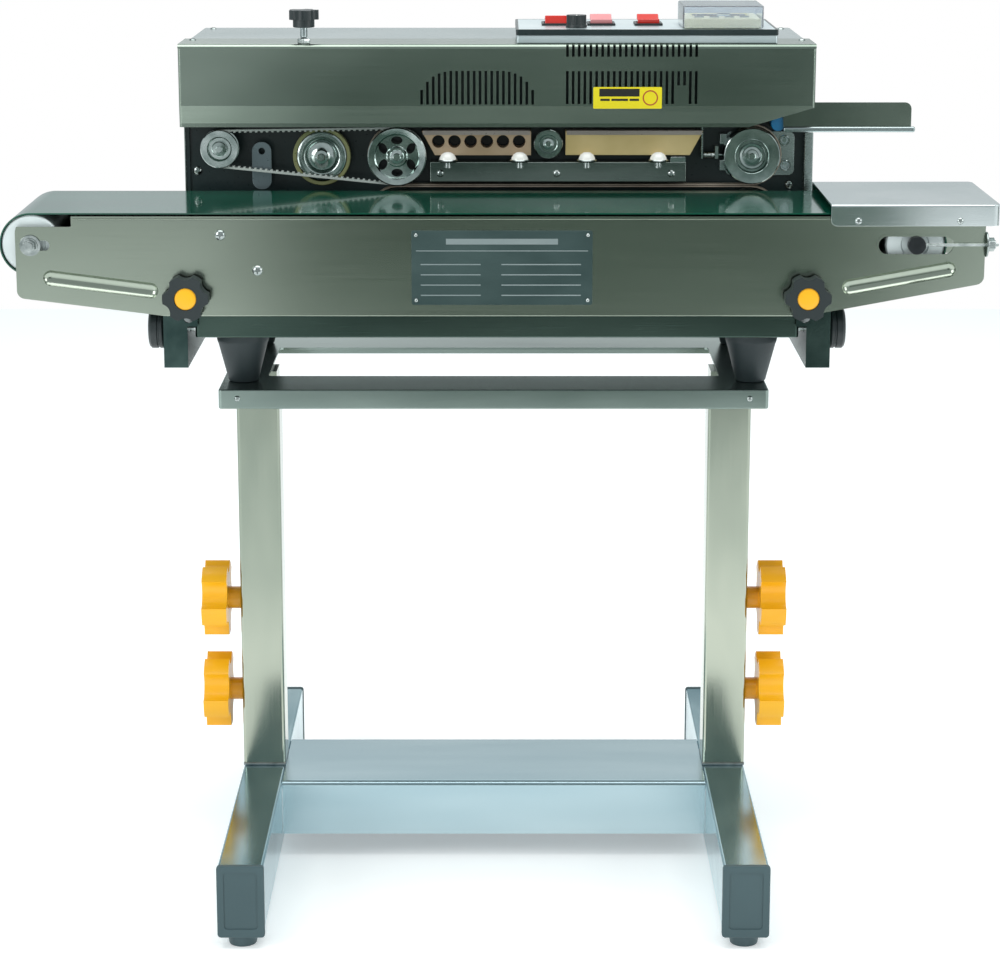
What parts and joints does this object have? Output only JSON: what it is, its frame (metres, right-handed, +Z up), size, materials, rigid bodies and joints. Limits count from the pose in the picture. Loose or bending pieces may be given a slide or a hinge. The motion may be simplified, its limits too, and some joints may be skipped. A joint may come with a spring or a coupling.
{
  "type": "continuous band sealer on floor stand",
  "caption": "Continuous band sealer: heated sealing wheels and bands over a flat belt conveyor, on a steel floor stand with clamp knobs for height.",
  "frame": {"origin": "on the floor, under the middle of the overall length and of the feet", "axes": "+X along the conveyor towards the bag infeed end, +Y from the front towards the back of the machine, +Z up"},
  "size_m": [0.8665, 0.52, 0.7945],
  "materials": {
    "polished_steel": "polished stainless steel",
    "brushed_steel": "fine brushed stainless steel",
    "chrome": "bright plated steel",
    "wheel_steel": "turned steel",
    "black_paint": "satin black paint",
    "motor_grey": "grey paint",
    "rubber": "matte moulded rubber",
    "end_foot_plastic": "matte moulded plastic",
    "orange_plastic": "satin moulded plastic",
    "black_plastic": "satin moulded plastic",
    "green_belt": "glossy belt surface",
    "toothed_belt": "matte moulded belt",
    "band_cloth": "smooth coated cloth",
    "brass": "milled and lightly oxidised",
    "red_rocker": "translucent gloss",
    "cream_plastic": "satin moulded plastic",
    "clear_plastic": "clear moulded plastic"
  },
  "bodies": {
    "stand": {"foot_beam_left": "polished_steel", "foot_beam_right": "polished_steel", "end_foot_front_left": "end_foot_plastic", "end_foot_front_right": "end_foot_plastic", "end_foot_rear_left": "end_foot_plastic", "end_foot_rear_right": "end_foot_plastic", "cross_beam": "polished_steel", "column_left": "polished_steel", "column_right": "polished_steel"},
    "machine": {"post_left": "polished_steel", "post_right": "polished_steel", "tray_frame": "polished_steel", "rubber_foot_front_left": "rubber", "rubber_foot_front_right": "rubber", "rubber_foot_rear_left": "rubber", "rubber_foot_rear_right": "rubber", "machine_base": "brushed_steel", "head_hood": "brushed_steel", "head_case": "brushed_steel", "back_plate": "black_paint", "control_panel": "black_paint", "temperature_controller": "cream_plastic", "timing_belt": "toothed_belt", "sealing_band": "band_cloth", "lower_sealing_band": "band_cloth", "heating_block": "brass", "cooling_block": "brass", "guide_bar": "chrome", "infeed_guide": "brushed_steel", "drive_motor": "motor_grey"},
    "carriage": {"arm_left": "chrome", "arm_right": "chrome"},
    "conveyor": {"conveyor_front_plate": "brushed_steel", "conveyor_rear_plate": "brushed_steel", "conveyor_belt": "green_belt", "end_cover": "chrome"},
    "band_tensioner": {"wheel_bracket": "chrome"},
    "column_knob_left_lower": {"column_knob_left_lower": "orange_plastic"},
    "column_knob_left_upper": {"column_knob_left_upper": "orange_plastic"},
    "column_knob_right_lower": {"column_knob_right_lower": "orange_plastic"},
    "column_knob_right_upper": {"column_knob_right_upper": "orange_plastic"},
    "arm_knob_left": {"arm_knob_left": "black_plastic"},
    "arm_knob_right": {"arm_knob_right": "black_plastic"},
    "height_knob_left": {"height_knob_left": "black_plastic"},
    "height_knob_right": {"height_knob_right": "black_plastic"},
    "drive_pulley": {"drive_pulley": "wheel_steel"},
    "idler_pulley": {"idler_pulley": "wheel_steel"},
    "pinch_wheel": {"pinch_wheel": "wheel_steel"},
    "mid_roller": {"mid_roller": "wheel_steel"},
    "band_wheel": {"band_wheel": "wheel_steel"},
    "lower_drive_wheel": {"lower_drive_wheel": "wheel_steel"},
    "lower_tail_wheel": {"lower_tail_wheel": "wheel_steel"},
    "drive_roller": {"drive_roller": "polished_steel"},
    "tail_roller": {"tail_roller": "polished_steel"},
    "power_switch": {"power_switch": "red_rocker"},
    "heater_switch": {"heater_switch": "red_rocker"},
    "fan_switch": {"fan_switch": "red_rocker"},
    "speed_knob": {"speed_knob": "black_plastic"},
    "pressure_knob": {"pressure_knob": "black_plastic"},
    "controller_lid": {"controller_lid": "clear_plastic"}
  },
  "joints": [
    {"name": "stand_height", "type": "slide", "parent": "stand", "child": "machine", "axis": [0, 0, 1], "range_m": [0, 0.1]},
    {"name": "column_knob_left_lower_turn", "type": "hinge", "parent": "stand", "child": "column_knob_left_lower", "pos_m": [-0.2445, 0.032, 0.1465], "axis": [-1, 0, 0], "range_deg": [0, 360]},
    {"name": "column_knob_left_upper_turn", "type": "hinge", "parent": "stand", "child": "column_knob_left_upper", "pos_m": [-0.2445, 0.032, 0.237], "axis": [-1, 0, 0], "range_deg": [0, 360]},
    {"name": "column_knob_right_lower_turn", "type": "hinge", "parent": "stand", "child": "column_knob_right_lower", "pos_m": [0.2353, 0.032, 0.1465], "axis": [1, 0, 0], "range_deg": [0, 360]},
    {"name": "column_knob_right_upper_turn", "type": "hinge", "parent": "stand", "child": "column_knob_right_upper", "pos_m": [0.2353, 0.032, 0.237], "axis": [1, 0, 0], "range_deg": [0, 360]},
    {"name": "conveyor_reach", "type": "slide", "parent": "machine", "child": "carriage", "axis": [0, -1, 0], "range_m": [0, 0.04]},
    {"name": "conveyor_height", "type": "slide", "parent": "carriage", "child": "conveyor", "axis": [0, 0, 1], "range_m": [-0.02, 0]},
    {"name": "arm_knob_left_turn", "type": "hinge", "parent": "machine", "child": "arm_knob_left", "pos_m": [-0.2928, -0.108, 0.523], "axis": [-1, 0, 0], "range_deg": [0, 360]},
    {"name": "height_knob_left_turn", "type": "hinge", "parent": "conveyor", "child": "height_knob_left", "pos_m": [-0.2705, -0.1363, 0.556], "axis": [0, -1, 0], "range_deg": [0, 360]},
    {"name": "arm_knob_right_turn", "type": "hinge", "parent": "machine", "child": "arm_knob_right", "pos_m": [0.2898, -0.108, 0.523], "axis": [1, 0, 0], "range_deg": [0, 360]},
    {"name": "height_knob_right_turn", "type": "hinge", "parent": "conveyor", "child": "height_knob_right", "pos_m": [0.2675, -0.1363, 0.556], "axis": [0, -1, 0], "range_deg": [0, 360]},
    {"name": "drive_pulley_spin", "type": "hinge", "parent": "machine", "child": "drive_pulley", "pos_m": [-0.0932, 0.033, 0.658], "axis": [0, 1, 0], "continuous": true},
    {"name": "idler_pulley_spin", "type": "hinge", "parent": "machine", "child": "idler_pulley", "pos_m": [-0.2556, 0.033, 0.665], "axis": [0, 1, 0], "continuous": true},
    {"name": "pinch_wheel_spin", "type": "hinge", "parent": "machine", "child": "pinch_wheel", "pos_m": [-0.1626, 0.033, 0.657], "axis": [0, 1, 0], "continuous": true},
    {"name": "mid_roller_spin", "type": "hinge", "parent": "machine", "child": "mid_roller", "pos_m": [0.0454, 0.033, 0.6695], "axis": [0, 1, 0], "continuous": true},
    {"name": "band_tension", "type": "slide", "parent": "machine", "child": "band_tensioner", "axis": [1, 0, 0], "range_m": [-0.008, 0], "stiffness_N_per_m": 1500, "springref_m": 0.006},
    {"name": "band_wheel_spin", "type": "hinge", "parent": "band_tensioner", "child": "band_wheel", "pos_m": [0.232, 0.033, 0.6585], "axis": [0, 1, 0], "continuous": true},
    {"name": "lower_drive_wheel_spin", "type": "hinge", "parent": "machine", "child": "lower_drive_wheel", "pos_m": [-0.0932, 0.033, 0.6024], "axis": [0, 1, 0], "continuous": true},
    {"name": "lower_tail_wheel_spin", "type": "hinge", "parent": "machine", "child": "lower_tail_wheel", "pos_m": [0.232, 0.033, 0.6019], "axis": [0, 1, 0], "continuous": true},
    {"name": "drive_roller_spin", "type": "hinge", "parent": "conveyor", "child": "drive_roller", "pos_m": [-0.4056, -0.0572, 0.6], "axis": [0, 1, 0], "continuous": true},
    {"name": "tail_roller_spin", "type": "hinge", "parent": "conveyor", "child": "tail_roller", "pos_m": [0.3614, -0.0572, 0.6], "axis": [0, 1, 0], "continuous": true},
    {"name": "power_switch_rock", "type": "hinge", "parent": "machine", "child": "power_switch", "pos_m": [0.0527, 0.083, 0.7736], "axis": [1, 0, 0], "range_deg": [0, 16]},
    {"name": "heater_switch_rock", "type": "hinge", "parent": "machine", "child": "heater_switch", "pos_m": [0.0947, 0.083, 0.7736], "axis": [1, 0, 0], "range_deg": [-16, 0]},
    {"name": "fan_switch_rock", "type": "hinge", "parent": "machine", "child": "fan_switch", "pos_m": [0.1383, 0.083, 0.7736], "axis": [1, 0, 0], "range_deg": [-16, 0]},
    {"name": "speed_knob_turn", "type": "hinge", "parent": "machine", "child": "speed_knob", "pos_m": [0.071, 0.046, 0.7736], "axis": [0, 0, -1], "range_deg": [0, 300]},
    {"name": "pressure_knob_turn", "type": "hinge", "parent": "machine", "child": "pressure_knob", "pos_m": [-0.1766, 0.0225, 0.761], "axis": [0, 0, 1], "range_deg": [0, 360]},
    {"name": "controller_lid_open", "type": "hinge", "parent": "machine", "child": "controller_lid", "pos_m": [0.20365, 0.102, 0.7742], "axis": [-1, 0, 0], "range_deg": [0, 90]}
  ],
  "couplings": [
    {"joint": "idler_pulley_spin", "follows": "drive_pulley_spin", "ratio": 1.546},
    {"joint": "pinch_wheel_spin", "follows": "drive_pulley_spin", "ratio": 1.0338},
    {"joint": "mid_roller_spin", "follows": "drive_pulley_spin", "ratio": 2.0677},
    {"joint": "band_wheel_spin", "follows": "drive_pulley_spin", "ratio": 0.98214},
    {"joint": "lower_drive_wheel_spin", "follows": "drive_pulley_spin", "ratio": -1},
    {"joint": "lower_tail_wheel_spin", "follows": "drive_pulley_spin", "ratio": -0.98214},
    {"joint": "drive_roller_spin", "follows": "drive_pulley_spin", "ratio": -1.0397},
    {"joint": "tail_roller_spin", "follows": "drive_pulley_spin", "ratio": -1.0397}
  ]
}
